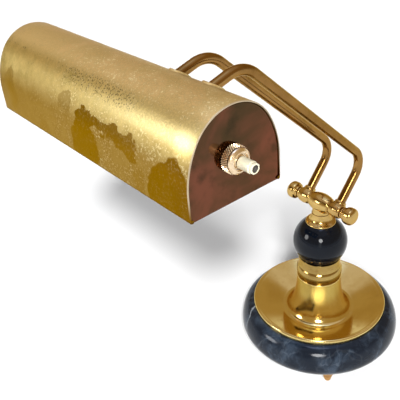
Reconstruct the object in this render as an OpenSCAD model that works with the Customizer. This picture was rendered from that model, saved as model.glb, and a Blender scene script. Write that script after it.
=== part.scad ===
// Desk lamp with a stone ring base, a spun brass dish, a glossy ball,
// a T-shaped friction hub, two bent brass tubes and a long arched shade.

/* [Base] */
// Outer diameter of the stone ring
ring_d = 152; // [140:1:170]
// Height from the ring's underside to its widest line
ring_lower_h = 13; // [10:0.5:16]
// Height from the widest line to the ring's top
ring_upper_h = 20.5; // [16:0.5:25]
// How far the ring bulges past its flat top
ring_bulge = 14.5; // [11:0.5:17]
// Diameter of the hollow through the ring
ring_bore_d = 92; // [80:1:96]
// Width of the chamfer inside the ring's top, under the dish
ring_chamfer = 9.5; // [6:0.5:12]
// Height of the lamp's feet under the ring
foot_h = 10.5; // [4:0.5:12]
// Diameter of a foot's collar
foot_d = 12; // [9:0.5:13]
// Diameter of a foot's toe
foot_toe_d = 5.5; // [4:0.5:8]
// Depth that a foot's collar is let into the ring
foot_set = 3.5; // [2:0.5:5]
// Angle of each foot from the X axis
foot_angle = 40; // [32:1:58]
// Thickness of the steel plate under the ring
plate_t = 3; // [2:0.5:4]
// Width of the ledge under the ring that the plate fills
plate_ledge = 6; // [4:0.5:7]
// Height of the iron ballast on the plate
ballast_h = 21; // [12:1:24]
// Diameter of the iron ballast
ballast_d = 86; // [60:1:88]

/* [Dish] */
// Wall of the spun dish
dish_t = 1.2; // [0.8:0.1:1.6]
// How far the dish's rim reaches past the ring's flat top
dish_overlap = 2; // [0.5:0.5:3]
// Height of the rolled rim over the ring
rim_h = 4.4; // [3.5:0.1:6]
// Drop from the rolled rim to the edge of the dish's bowl
rim_drop = 1.5; // [0.8:0.1:1.8]
// Depth of the bowl from its edge to the foot of the bell
dish_sink = 10.4; // [6:0.2:12]
// Diameter where the bell of the dish begins to rise
bell_foot_d = 66; // [58:1:80]
// Diameter of the bell at its top
bell_top_d = 42; // [40:1:52]
// Height of the bell over its foot
bell_h = 41; // [34:0.2:48]

/* [Ball] */
// Diameter of the ball
ball_d = 50; // [44:0.5:54]
// Height of the cup that carries the ball
cup_h = 22.2; // [15:0.2:26]
// How far the cup's band bulges past the top of the bell
cup_bulge = 0.6; // [0:0.1:2]
// Diameter of the cup's upper collar
cup_collar_d = 39.4; // [37:0.2:42]
// Diameter of the circle on which the ball sits in the cup
cup_seat_d = 37; // [30:0.5:38]
// Diameter of the flared collar's lip on top of the ball
collar_lip_d = 31; // [26:0.5:34]
// Height of the flared collar from its lip to the hub
collar_h = 11.4; // [9:0.2:14]
// Diameter of the hub's neck
neck_d = 16.8; // [15:0.2:18]

/* [Stem] */
// Outer diameter of the threaded pipe through base and ball
pipe_d = 9.6; // [8:0.1:10]
// Diameter of the wire way in the pipe
pipe_bore_d = 6; // [4:0.1:6.6]
// Width of the pipe nut across its corners
pipe_nut_d = 18; // [15:0.5:22]
// Thickness of the pipe nut
pipe_nut_t = 3.5; // [2.4:0.1:3.8]
// Thickness of the washers
washer_t = 1; // [0.6:0.1:1.2]
// Wall of the cord bushing
bushing_wall = 1.5; // [1:0.1:2]
// Diameter of the cord bushing's wire way
cord_way_d = 6.4; // [5:0.1:7.4]

/* [Hub] */
// Height of the pivot's axis over the flared collar
hub_rise = 10; // [9:0.2:14]
// Widest diameter of the egg-shaped hub
hub_d = 17.6; // [16:0.2:19]
// Length of the hub along the pivot
hub_len = 21; // [18:0.5:24]
// Diameter of the pivot shaft
shaft_d = 6; // [5:0.1:6.6]
// Radial clearance of turning fits
run_fit = 0.05; // [0.03:0.01:0.1]
// Gap between faces that turn on each other
face_gap = 0.05; // [0.05:0.05:0.2]
// Length of an arm's sleeve on the pivot
sleeve_len = 12; // [10.5:0.5:14]
// Widest diameter of a sleeve
sleeve_d = 14.4; // [13:0.2:16]
// Diameter of the bead between sleeve and thumb nut
bead_d = 10.4; // [9:0.2:12]
// Length of that bead
bead_len = 2.5; // [1.5:0.1:3.5]
// Diameter of a thumb nut
knob_d = 15.8; // [14:0.2:18]
// Length of a thumb nut
knob_len = 11.5; // [9:0.5:14]

/* [Arms] */
// Outer diameter of an arm's tube
arm_d = 8; // [6.4:0.2:8.6]
// Wall of an arm's tube
arm_wall = 1; // [0.6:0.1:1.4]
// Length from the pivot to the lower bend's corner
riser_len = 51.1; // [46:0.1:56]
// Direction of the riser, from the back up
riser_angle = 49.5; // [45:0.5:53]
// Length between the corners of the two bends
run_len = 185.5; // [160:0.5:210]
// Direction of the long run, from the back up
run_angle = 137.6; // [133:0.1:142]
// Length from the upper bend's corner to the arm's tip
tip_len = 48.5; // [46:0.5:54]
// How far the tip points below level
tip_fall = 16; // [12:0.5:20]
// Radius of the lower bend's centre line
lower_bend_r = 18; // [14:0.5:22]
// Radius of the upper bend's centre line
upper_bend_r = 26; // [20:0.5:30]

/* [Shade] */
// Length of the shade
shade_len = 259; // [240:1:290]
// How far the shade reaches past the lamp's middle at the switch end
shade_switch_side = 59.5; // [56:0.5:70]
// Width of the shade
shade_w = 76; // [70:1:84]
// Height of the shade's straight sides
side_h = 18; // [14:0.5:28]
// Height of the arch over the straight sides
arch_h = 48; // [41:0.5:50]
// Radius of the arch's crown
crown_r = 34; // [32:0.5:36]
// Wall of the shade
shade_t = 0.8; // [0.6:0.1:1.2]
// Height of the shade's crown over the arms' tips
crown_over_tip = 13.2; // [11.5:0.1:16]
// How far an end cap sits inside the shade's edge
cap_recess = 0.8; // [0.4:0.1:2]
// Depth of an end cap's turned-in skirt
cap_skirt = 7; // [4:0.5:10]
// Width of the saddle where an arm goes into the shade
saddle_d = 14; // [12:0.5:16]
// Thickness of that saddle
saddle_t = 1.2; // [0.8:0.1:1.6]

/* [Light] */
// Diameter of the tube-shaped bulb
bulb_d = 30; // [26:0.5:32]
// Length of the bulb's glass outside the socket
bulb_len = 128; // [90:1:140]
// Outer diameter of the socket's shell
socket_d = 33; // [31:0.5:36]
// Depth of the socket's domed cap
socket_cap_len = 12; // [10:0.5:14]
// How far the socket's bracket stands behind the switch end
bracket_in = 32.5; // [31:0.5:36]
// Length of the socket's straight shell
socket_len = 36; // [30:1:42]
// Drop from the shade's crown to the bulb's axis
bulb_drop = 39; // [36:0.5:42]
// Diameter of the bulb's screw base
bulb_base_d = 26; // [24:0.5:27]
// Thickness of the socket's bracket
bracket_t = 1.5; // [1:0.1:2]

/* [Switch] */
// Drop from the shade's crown to the switch
switch_drop = 34.5; // [30:0.5:38]
// How far the switch sits in front of the shade's middle line
switch_aside = 2.5; // [0:0.5:5]
// Diameter of the switch's body behind the cap
switch_body_d = 24; // [20:0.5:27]
// Length of the switch's body
switch_body_len = 20; // [16:0.5:22]
// Diameter of the switch's threaded bushing
bushing_d = 10; // [9:0.2:11]
// Diameter of the knurled nut
switch_nut_d = 18; // [16:0.5:22]
// Thickness of the knurled nut
switch_nut_t = 9; // [5:0.5:11]
// Diameter of the turn knob
switch_knob_d = 8; // [6.4:0.1:8.4]
// Length of the turn knob
switch_knob_len = 12; // [8:0.5:15]

/* [Hidden] */
$fn = 72;

brass = "#b98a3a";
old_brass = "#b5995f";
steel = "#9a9da1";
seat = 0.15;

// Base heights and radii
ring_r = ring_d / 2;
ring_flat_r = ring_r - ring_bulge;
ring_bore_r = ring_bore_d / 2;
ring_bottom = foot_h;
ring_belly = ring_bottom + ring_lower_h;
ring_top = ring_belly + ring_upper_h;
plate_r = ring_bore_r + plate_ledge;
foot_place_r = ring_flat_r + 2.5;
pipe_r = pipe_d / 2;
pipe_hole_r = pipe_r + seat;
bushing_way_r = cord_way_d / 2;
bushing_r = bushing_way_r + bushing_wall;
bushing_z = ring_bottom + plate_t + 8;
bushing_face = ring_r - 2;

// Dish
rim_r = ring_flat_r + dish_overlap;
rim_top = ring_top + rim_h;
dish_edge = rim_top - rim_drop;
dish_low = dish_edge - dish_sink;
bell_foot_r = bell_foot_d / 2;
bell_top_r = bell_top_d / 2;
dish_top = dish_low + bell_h;
bowl_out = [rim_r - 4.2, dish_edge + 0.5];
bowl_in = [bell_foot_r + 3, dish_low + 0.4];
bowl_slope = (bowl_out[1] - bowl_in[1]) / (bowl_out[0] - bowl_in[0]);

// Ball and what holds it
ball_r = ball_d / 2;
cup_top = dish_top + cup_h;
ball_z = cup_top + sqrt(pow(ball_r, 2) - pow(cup_seat_d / 2, 2));
lip_r = collar_lip_d / 2;
lip_z = ball_z + sqrt(pow(ball_r, 2) - pow(lip_r, 2));
collar_top = lip_z + collar_h;
neck_r = neck_d / 2;

// Pivot
pivot_z = collar_top + hub_rise;
hub_half = hub_len / 2;
shaft_r = shaft_d / 2;
turn_r = shaft_r + run_fit;
washer_x = hub_half;
sleeve_x = washer_x + washer_t + face_gap;
bead_x = sleeve_x + sleeve_len + face_gap;
knob_x = bead_x + bead_len + face_gap;
shaft_half = knob_x + knob_len - 4;
arm_x = sleeve_x + sleeve_len / 2;
pipe_bottom = ring_bottom - washer_t - pipe_nut_t - 0.5;
pipe_top = pivot_z - shaft_r - 2.5;

// Centre line of an arm in the plane across the pivot, from pivot to tip
tip_angle = 180 + tip_fall;
function polar(a, l) = l * [cos(a), sin(a)];
corner_low = [0, pivot_z] + polar(riser_angle, riser_len);
corner_high = corner_low + polar(run_angle, run_len);
arm_tip = corner_high + polar(tip_angle, tip_len);
low_cut = lower_bend_r * tan((run_angle - riser_angle) / 2);
high_cut = upper_bend_r * tan((tip_angle - run_angle) / 2);
arm_r = arm_d / 2;
arm_start = shaft_r + 2;
draw_in = 0.03;
bend_lap = 0.3;
bridge_at = tip_len - 6;
bridge_t = 2;
tip_nut_t = 2.4;
tip_nut_r = arm_r + 2.4;

// Shade
shade_y = arm_tip[0];
shade_top = arm_tip[1] + crown_over_tip;
spring_z = shade_top - arch_h;
shade_bottom = spring_z - side_h;
switch_end = shade_switch_side;
far_end = switch_end - shade_len;
cap_t = 0.8;
cap_out = switch_end - cap_recess;
cap_in = cap_out - cap_t;

// Three-centred arch: the haunch arcs run into the crown arc without a kink
crown_c = arch_h - crown_r;
half_w = shade_w / 2;
haunch_r = (pow(half_w, 2) + pow(crown_c, 2) - pow(crown_r, 2)) / (2 * (half_w - crown_r));
haunch_c = haunch_r - half_w;

// Light
bulb_z = shade_top - bulb_drop;
bracket_x = switch_end - bracket_in;
shell_near = bracket_x - socket_cap_len;
shell_far = shell_near - socket_len;
socket_r = socket_d / 2;
bulb_base_r = bulb_base_d / 2;
thread_r = bulb_base_r + 1;
bulb_r = bulb_d / 2;
base_near = shell_near - 6;
base_far = base_near - 24;
glass_far = shell_far - bulb_len;

// Switch
switch_z = shade_top - switch_drop;
switch_y = shade_y - switch_aside;
switch_r = bushing_d / 2;
bushing_end = cap_out + switch_nut_t - 0.8;
switch_shaft_r = 2;
knob_near = bushing_end + 0.5;
knob_far = knob_near + switch_knob_len;

// The lamp is drawn round its stem and then moved, so that the middle of its
// bounding box stands on the origin
middle_x = (far_end + knob_far) / 2;
middle_y = (shade_y - half_w + ring_r) / 2;
module placed() {
  translate([-middle_x, -middle_y, 0]) children();
}

// A ring or rod along X between two places
module along_x(x0, x1, r, bore = 0, y = 0, z = 0, sides = $fn) {
  translate([x0, y, z]) rotate([0, 90, 0]) difference() {
    cylinder(h = x1 - x0, r = r, $fn = sides);
    if (bore > 0) translate([0, 0, -1]) cylinder(h = x1 - x0 + 2, r = bore);
  }
}

// A turned shape whose outline gives place along X and radius
module turned_x(outline, y = 0, z = 0) {
  translate([0, y, z]) rotate([0, 90, 0]) rotate_extrude()
    polygon([for (p = outline) [p[1], p[0]]]);
}

// A disc or tube standing on the floor side of a height
module upright(z0, z1, r, bore = 0, sides = $fn) {
  translate([0, 0, z0]) difference() {
    cylinder(h = z1 - z0, r = r, $fn = sides);
    if (bore > 0) translate([0, 0, -1]) cylinder(h = z1 - z0 + 2, r = bore);
  }
}

// Points of an ellipse between two angles
function bow(c, a, b, from, to, steps) =
  [for (i = [0:steps]) let (t = from + (to - from) * i / steps) c + [a * cos(t), b * sin(t)]];

// Turns one outline into a wall of even thickness on its left
function unit(v) = v / norm(v);
function left_of(p, q) = let (d = unit(q - p)) [-d[1], d[0]];
function inset(pts, i, t) =
  let (last = len(pts) - 1,
       a = i > 0 ? left_of(pts[i - 1], pts[i]) : left_of(pts[0], pts[1]),
       b = i < last ? left_of(pts[i], pts[i + 1]) : a,
       m = unit(a + b))
  pts[i] + m * t / (m * a);
function wall_outline(pts, t) =
  concat(pts, [for (i = [len(pts) - 1:-1:0]) inset(pts, i, t)]);

foot_profile = concat(
  [[0, 0], [foot_toe_d / 2 - 0.8, 0]],
  bow([foot_toe_d / 2 - 0.8, 0.8], 0.8, 0.8, -70, -20, 3),
  [[foot_d / 2 - 0.3, foot_h - 0.8], [foot_d / 2, foot_h - 0.3],
   [foot_d / 2, foot_h + foot_set], [0, foot_h + foot_set]]);

module at_feet() {
  for (side = [-1, 1], end = [-1, 1])
    translate([end * foot_place_r * cos(foot_angle), side * foot_place_r * sin(foot_angle), 0])
      children();
}

module feet() {
  color(brass) placed() at_feet() rotate_extrude() polygon(foot_profile);
}

module base_plate() {
  color(steel) placed() upright(ring_bottom, ring_bottom + plate_t, plate_r, pipe_hole_r);
}

module ballast() {
  color("#4a4c4f") placed() upright(ring_bottom + plate_t, ring_bottom + plate_t + ballast_h,
                           ballast_d / 2, pipe_hole_r);
}

// Bullnose ring, drilled for feet and cord, with a ledge for the plate
module stone_ring() {
  outline = concat(
    [[ring_bore_r, ring_bottom + plate_t], [plate_r + seat, ring_bottom + plate_t],
     [plate_r + seat, ring_bottom]],
    bow([ring_flat_r, ring_belly], ring_bulge, ring_lower_h, -90, 0, 10),
    bow([ring_flat_r, ring_belly], ring_bulge, ring_upper_h, 8, 90, 13),
    [[ring_bore_r + ring_chamfer, ring_top], [ring_bore_r, ring_top - ring_chamfer * bowl_slope]]);
  color("#2b3644") placed() difference() {
    rotate_extrude($fn = 120) polygon(outline);
    at_feet() translate([0, 0, -1])
      cylinder(h = foot_h + foot_set + 1, r = foot_d / 2 + seat);
    translate([0, 0, bushing_z]) rotate([-90, 0, 0])
      cylinder(h = ring_r + 5, r = bushing_r + seat);
    translate([0, bushing_face, bushing_z]) rotate([-90, 0, 0])
      cylinder(h = 10, r = bushing_r + 3);
  }
}

// Plain bushing that lines the hole where the supply cord goes in
module cord_bushing() {
  color("#1d1d1f") placed() translate([0, 0, bushing_z]) rotate([-90, 0, 0]) difference() {
    union() {
      translate([0, 0, ring_bore_r]) cylinder(h = bushing_face - ring_bore_r, r = bushing_r);
      translate([0, 0, bushing_face]) cylinder(h = 2, r = bushing_r + 2.5);
    }
    cylinder(h = ring_r + 5, r = bushing_way_r);
  }
}

// Spun dish: rolled rim, shallow bowl, and a bell that rises in one hollow curve
module base_dish() {
  skin = concat(
    [[rim_r, ring_top], [rim_r, rim_top - 1.6]],
    bow([rim_r - 1.6, rim_top - 1.6], 1.6, 1.6, 20, 110, 5),
    [bowl_out, bowl_in, [bell_foot_r + 1, dish_low]],
    [for (i = [0:14]) let (t = 90 * i / 14)
      [bell_foot_r - (bell_foot_r - bell_top_r) * sin(t),
       dish_top - 2 - (bell_h - 2) * cos(t)]],
    [[bell_top_r, dish_top], [pipe_hole_r, dish_top]]);
  color(brass) placed() rotate_extrude($fn = 120) polygon(wall_outline(skin, dish_t));
}

// Turned cup with a groove, a swelling band and a collar under the ball
module ball_cup() {
  groove = 1.4;
  ledge = dish_top + cup_h * 0.55;
  band_r = 2.6;
  band_h = ledge - dish_top - groove;
  collar_r = cup_collar_d / 2;
  outline = concat(
    [[pipe_hole_r, dish_top], [bell_top_r - groove, dish_top]],
    bow([bell_top_r + cup_bulge - band_r, ledge - band_h / 2], band_r, band_h / 2, -70, 64, 9),
    [[collar_r + 0.6, ledge + 0.8], [collar_r, ledge + 2.4], [collar_r, cup_top - 0.6],
     [collar_r - 0.6, cup_top], [pipe_hole_r, cup_top]]);
  color(brass) placed() difference() {
    rotate_extrude($fn = 96) polygon(outline);
    translate([0, 0, ball_z]) sphere(r = ball_r + seat, $fn = 96);
  }
}

module ball() {
  color("#0b0e12") placed() difference() {
    translate([0, 0, ball_z]) sphere(r = ball_r, $fn = 96);
    upright(ball_z - ball_r - 1, ball_z + ball_r + 1, pipe_hole_r);
  }
}

// Flared collar that caps the ball and carries the hub
module ball_collar() {
  lip = 1;
  outline = concat(
    [[pipe_hole_r, lip_z - 2]],
    [[lip_r - 0.8, lip_z - 2]],
    bow([lip_r - lip, lip_z + 0.6], lip, lip, -60, 80, 6),
    [for (i = [0:10]) let (t = 90 * i / 10)
      [lip_r - 1.8 - (lip_r - 1.8 - neck_r) * sin(t),
       collar_top - (collar_h - 2.4) * cos(t)]],
    [[pipe_hole_r, collar_top]]);
  color(brass) placed() difference() {
    rotate_extrude($fn = 96) polygon(outline);
    translate([0, 0, ball_z]) sphere(r = ball_r + seat, $fn = 96);
  }
}

module stem_pipe() {
  color(steel) placed() upright(pipe_bottom, pipe_top, pipe_r, pipe_bore_d / 2);
}

module pipe_washer() {
  color(steel) placed() upright(ring_bottom - washer_t, ring_bottom, pipe_nut_d / 2 + 1.5, pipe_hole_r);
}

module pipe_nut() {
  nut_top = ring_bottom - washer_t;
  color(steel) placed() difference() {
    upright(nut_top - pipe_nut_t, nut_top, pipe_nut_d / 2, 0, 6);
    upright(0, ring_bottom, pipe_hole_r);
  }
}

// Egg-shaped casting on a short neck, cross-bored for the pivot shaft
module hub() {
  end_r = hub_d / 2 * 0.72;
  reach = hub_half / sqrt(1 - pow(end_r / (hub_d / 2), 2));
  egg = concat(
    [[-hub_half, 0]],
    [for (i = [0:16]) let (x = -hub_half + hub_len * i / 16)
      [x, hub_d / 2 * sqrt(1 - pow(x / reach, 2))]],
    [[hub_half, 0]]);
  color(brass) placed() difference() {
    union() {
      turned_x(egg, 0, pivot_z);
      upright(collar_top, pivot_z - 1, neck_r - 0.4);
    }
    along_x(-hub_half - 1, hub_half + 1, shaft_r + 0.02, 0, 0, pivot_z);
    upright(collar_top - 1, pipe_top + 0.5, pipe_hole_r);
    translate([0, 0, pivot_z]) rotate([-90, 0, 0]) cylinder(h = hub_d, r = 1.6);
  }
}

module pivot_shaft() {
  color(steel) placed() along_x(-shaft_half, shaft_half, shaft_r, 0, 0, pivot_z);
}

// Slotted grub screw in the back of the hub, tight on the shaft
module shaft_lock_screw() {
  head = hub_d / 2 - 0.4;
  color(steel) placed() translate([0, 0, pivot_z]) difference() {
    rotate([-90, 0, 0]) translate([0, 0, shaft_r + 0.05])
      cylinder(h = head - shaft_r, r = 1.55);
    translate([-2, head - 0.5, -0.25]) cube([4, 2, 0.5]);
  }
}

module friction_washers() {
  color(steel) placed() for (side = [-1, 1])
    along_x(side * (washer_x + washer_t / 2) - washer_t / 2,
            side * (washer_x + washer_t / 2) + washer_t / 2,
            hub_d / 2 * 0.66, turn_r, 0, pivot_z);
}

// Barrel on the pivot with a drilled socket for the arm's tube
module sleeve(side) {
  end_r = sleeve_d / 2 - 1;
  barrel = concat(
    [[sleeve_x, 0], [sleeve_x, end_r - 0.4]],
    [for (i = [0:10]) let (t = i / 10)
      [sleeve_x + sleeve_len * t, end_r + sin(180 * t)]],
    [[sleeve_x + sleeve_len, 0]]);
  mirror([side < 0 ? 1 : 0, 0, 0]) difference() {
    union() {
      turned_x(barrel, 0, pivot_z);
      translate([arm_x, 0, pivot_z]) rotate([riser_angle - 90, 0, 0])
        cylinder(h = sleeve_d / 2 + 1.6, r1 = arm_r + 1.4, r2 = arm_r + 0.9);
    }
    along_x(sleeve_x - 1, sleeve_x + sleeve_len + 1, turn_r, 0, 0, pivot_z);
    translate([arm_x, 0, pivot_z]) rotate([riser_angle - 90, 0, 0]) {
      translate([0, 0, arm_start]) cylinder(h = sleeve_d, r = arm_r + 0.02);
      cylinder(h = sleeve_d, r = arm_r - arm_wall);
    }
  }
}

module left_sleeve() { color(brass) placed() sleeve(-1); }
module right_sleeve() { color(brass) placed() sleeve(1); }

module bead(side) {
  h = bead_d / 2;
  ring = concat([[bead_x, 0], [bead_x, h - 1]],
                bow([bead_x + bead_len / 2, h - 1], bead_len / 2, 1, 180, 0, 6),
                [[bead_x + bead_len, 0]]);
  mirror([side < 0 ? 1 : 0, 0, 0]) difference() {
    turned_x(ring, 0, pivot_z);
    along_x(bead_x - 1, bead_x + bead_len + 1, turn_r, 0, 0, pivot_z);
  }
}

module left_bead() { color(brass) placed() bead(-1); }
module right_bead() { color(brass) placed() bead(1); }

// Blind thumb nut with a rounded waist and a domed face
module thumb_nut(side) {
  r = knob_d / 2;
  face = knob_x + knob_len;
  outline = concat(
    [[knob_x, 0], [knob_x, r * 0.62], [knob_x + 1, r * 0.64]],
    bow([knob_x + knob_len * 0.42, 0], knob_len * 0.3, r, 128, 90, 5),
    bow([knob_x + knob_len * 0.42, 0], knob_len * 0.58, r, 80, 0, 10));
  mirror([side < 0 ? 1 : 0, 0, 0]) difference() {
    turned_x(outline, 0, pivot_z);
    along_x(knob_x - 1, shaft_half + 0.6, turn_r, 0, 0, pivot_z);
  }
}

module left_thumb_nut() { color(brass) placed() thumb_nut(-1); }
module right_thumb_nut() { color(brass) placed() thumb_nut(1); }

// The arm's centre line filled to one radius: straight, bend, straight, bend, tip.
// Bending draws the tube in a little, so each bend starts inside a straight's end.
module bent_rod(r, over = 0) {
  module straight(p, a, l0, l1) {
    translate([0, p[0], p[1]]) rotate([a - 90, 0, 0]) translate([0, 0, l0])
      cylinder(h = l1 - l0, r = r, $fn = 40);
  }
  module bend(corner, a, cut, bend_r, turn) {
    c = corner - polar(a, cut) + polar(a + 90, bend_r);
    translate([0, c[0], c[1]]) rotate([a - 90, 0, 0]) rotate([90, 0, 90])
      rotate_extrude(angle = turn, $fn = 96) translate([bend_r, 0])
        circle(r = r - draw_in, $fn = 40);
  }
  straight([0, pivot_z], riser_angle, arm_start - over, riser_len - low_cut + bend_lap);
  bend(corner_low, riser_angle, low_cut, lower_bend_r, run_angle - riser_angle);
  straight(corner_low, run_angle, low_cut - bend_lap, run_len - high_cut + bend_lap);
  bend(corner_high, run_angle, high_cut, upper_bend_r, tip_angle - run_angle);
  straight(corner_high, tip_angle, high_cut - bend_lap, tip_len + over);
}

module arm(side) {
  translate([side * arm_x, 0, 0]) difference() {
    bent_rod(arm_r);
    bent_rod(arm_r - arm_wall, 1);
  }
}

module left_arm() { color(brass) placed() arm(-1); }
module right_arm() { color(brass) placed() arm(1); }

// Places children on an arm's tip, looking along the tube from its last corner
module at_tip(side) {
  translate([side * arm_x, corner_high[0], corner_high[1]]) rotate([tip_angle - 90, 0, 0])
    children();
}

module at_tips() {
  for (side = [-1, 1]) at_tip(side) children();
}

// Section of the shade, drawn across and up from the springing line
module shade_section(grow = 0, below = side_h) {
  kink_z = crown_c * (haunch_r + grow) / (haunch_r - crown_r);
  intersection() {
    translate([0, crown_c]) circle(r = crown_r + grow, $fn = 120);
    translate([-half_w, 0]) square([shade_w, 2 * arch_h]);
  }
  intersection() {
    translate([-haunch_c, 0]) circle(r = haunch_r + grow, $fn = 180);
    translate([haunch_c, 0]) circle(r = haunch_r + grow, $fn = 180);
    translate([-shade_w, 0]) square([2 * shade_w, kink_z]);
  }
  translate([-half_w - grow, -below]) square([shade_w + 2 * grow, below]);
}

// Puts a section drawn across and up at a place along the shade
module along_shade(x0, x1) {
  translate([x0, shade_y, spring_z]) rotate([90, 0, 90]) linear_extrude(x1 - x0) children();
}

module shade() {
  color(old_brass) placed() difference() {
    along_shade(far_end, switch_end) shade_section();
    along_shade(far_end - 1, switch_end + 1) shade_section(-shade_t, side_h + 1);
    at_tips() cylinder(h = tip_len - 2, r = arm_r + 0.3);
  }
}

// Pan-shaped cap: a plate with a skirt that fits inside the shade
module end_cap_pan(hole) {
  fit = -shade_t - 0.05;
  difference() {
    along_shade(cap_out - cap_skirt, cap_out) shade_section(fit);
    along_shade(cap_out - cap_skirt - 1, cap_in) shade_section(fit - 0.8, side_h + 1);
    if (hole) along_x(cap_in - 1, cap_out + 1, switch_r + 0.3, 0, switch_y, switch_z);
  }
}

module right_end_cap() { color(brass) placed() end_cap_pan(true); }
module left_end_cap() {
  color(brass) placed() translate([far_end + switch_end, 0, 0]) mirror([1, 0, 0]) end_cap_pan(false);
}

// Curved saddles that close the gap round each arm on the shade's crown
module arm_saddles() {
  color(brass) placed() for (side = [-1, 1]) difference() {
    intersection() {
      along_x(side * arm_x - saddle_d, side * arm_x + saddle_d, crown_r + saddle_t,
              crown_r + 0.05, shade_y, spring_z + crown_c);
      at_tip(side) cylinder(h = tip_len - 2, r = saddle_d / 2);
    }
    at_tip(side) cylinder(h = tip_len, r = arm_r + 0.05);
  }
}

// Plate under the crown that the arms' threaded tips are bolted through
module arm_bridge() {
  color(steel) placed() difference() {
    intersection() {
      translate([0, corner_high[0], corner_high[1]]) rotate([tip_angle - 90, 0, 0])
        translate([-arm_x - 9, -14, bridge_at]) cube([2 * arm_x + 18, 30, bridge_t]);
      along_shade(-arm_x - 10, arm_x + 10)
        intersection() {
          shade_section(-shade_t - 0.05);
          translate([-half_w, bulb_z - spring_z + socket_r + 1]) square([shade_w, arch_h]);
        }
    }
    at_tips() cylinder(h = tip_len + 1, r = arm_r + 0.1);
  }
}

module arm_tip_nuts() {
  color(steel) placed() difference() {
    at_tips() {
      translate([0, 0, bridge_at - tip_nut_t]) cylinder(h = tip_nut_t, r = tip_nut_r, $fn = 6);
      translate([0, 0, bridge_at + bridge_t]) cylinder(h = tip_nut_t, r = tip_nut_r, $fn = 6);
    }
    at_tips() cylinder(h = tip_len + 1, r = arm_r + 0.05);
  }
}

// Hanger that drops from the crown and carries the socket
module socket_bracket() {
  width = 24;
  drop = bulb_drop + 9;
  color(steel) placed() difference() {
    union() {
      along_shade(bracket_x, bracket_x + bracket_t) intersection() {
        shade_section(-shade_t - 0.05);
        translate([-width / 2, arch_h - drop]) square([width, drop]);
      }
      along_shade(bracket_x, bracket_x + 12) intersection() {
        difference() {
          shade_section(-shade_t - 0.05);
          shade_section(-shade_t - 0.05 - bracket_t);
        }
        translate([-width / 2, arch_h - 12]) square([width, 12]);
      }
    }
    along_x(bracket_x - 1, bracket_x + 3, pipe_hole_r, 0, shade_y, bulb_z);
  }
}

module socket_nipple() {
  color(brass) placed() along_x(shell_near + 3, bracket_x + bracket_t + 5, pipe_r, pipe_bore_d / 2,
                       shade_y, bulb_z);
  color(brass) placed() difference() {
    along_x(bracket_x + bracket_t, bracket_x + bracket_t + 3, pipe_nut_d / 2 - 1.5, 0,
            shade_y, bulb_z, 6);
    along_x(bracket_x, bracket_x + bracket_t + 4, pipe_r - 0.5, 0, shade_y, bulb_z);
  }
}

// Domed brass cap of the socket
module socket_cap() {
  cap_edge = 0.6;
  skin = concat(
    [[socket_r, 0]],
    [for (i = [0:8]) let (t = 90 * i / 8)
      [9 + (socket_r - 9) * cos(t), cap_edge + (socket_cap_len - cap_edge) * sin(t)]],
    [[pipe_hole_r, socket_cap_len]]);
  color(brass) placed() translate([shell_near, shade_y, bulb_z]) rotate([0, 90, 0])
    rotate_extrude() polygon(wall_outline(skin, 0.8));
}

module socket_shell() {
  color(brass) placed() along_x(shell_far, shell_near, socket_r, socket_r - 0.8, shade_y, bulb_z);
}

module socket_liner() {
  color("#2b2622") placed() difference() {
    along_x(shell_far - 1.5, shell_near - 0.5, socket_r - 0.9, 0, shade_y, bulb_z);
    along_x(shell_far - 3, shell_near - 4, thread_r + 0.45, 0, shade_y, bulb_z);
    along_x(shell_near - 5, shell_near + 1, 3, 0, shade_y, bulb_z);
  }
}

module socket_thread() {
  color("#c9a35a") placed() along_x(base_far + 2, base_near + 1, thread_r + 0.35, thread_r - 0.05,
                           shade_y, bulb_z);
}

module socket_contact() {
  color("#c9a35a") placed() along_x(base_near + 0.3, shell_near - 4, 4.5, 2, shade_y, bulb_z);
}

module bulb_base() {
  body = concat([[base_far, 0], [base_far, bulb_base_r - 0.4]],
    [for (i = [0:20]) [base_far + 2 + 17 * i / 20, bulb_base_r - 0.35 + 0.35 * cos(360 * i / 4)]],
    [[base_near - 2, bulb_base_r - 3], [base_near - 1.5, 5.2], [base_near, 4], [base_near, 0]]);
  color("#c4c6c8") placed() turned_x(body, shade_y, bulb_z);
}

// Tube-shaped glass with a rounded end and a drawn-in neck, as a thin shell
module bulb_glass() {
  nose = glass_far + bulb_r * 0.7;
  skin = concat(
    [[bulb_base_r - 0.8, base_far], [bulb_base_r - 0.8, base_far - 4]],
    [[bulb_r - 0.6, base_far - 12], [bulb_r, base_far - 17]],
    [for (i = [0:10]) let (t = 90 * i / 10) [max(bulb_r * cos(t), 0.05), nose - bulb_r * 0.7 * sin(t)]]);
  wall = wall_outline([for (i = [len(skin) - 1:-1:0]) skin[i]], 0.8);
  color([0.95, 0.93, 0.85, 0.4]) placed() translate([0, shade_y, bulb_z]) rotate([0, 90, 0])
    rotate_extrude() polygon([for (p = wall) [max(p[0], 0), p[1]]]);
}

// Glass stem and the two wires that hold the filament
module bulb_mount() {
  far = glass_far + 26;
  color("#d8d4c4") placed() union() {
    along_x(base_far - 26, base_far - 0.05, 4, 0, shade_y, bulb_z);
    along_x(far - 4, base_far - 25, 1.2, 0, shade_y, bulb_z);
    for (s = [-1, 1])
      along_x(far, base_far - 25, 0.5, 0, shade_y + s * 2.6, bulb_z);
  }
}

module switch_body() {
  r = switch_body_d / 2;
  color("#1b1a19") placed() difference() {
    turned_x([[cap_in - switch_body_len, 0], [cap_in - switch_body_len, r - 2],
              [cap_in - switch_body_len + 2, r], [cap_in - 3, r], [cap_in, r - 3], [cap_in, 0]],
             switch_y, switch_z);
    along_x(cap_in - 12, cap_in + 1, switch_r + 0.02, 0, switch_y, switch_z);
  }
}

module switch_bushing() {
  color(brass) placed() along_x(cap_in - 12, bushing_end, switch_r, switch_shaft_r + run_fit,
                       switch_y, switch_z);
}

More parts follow.
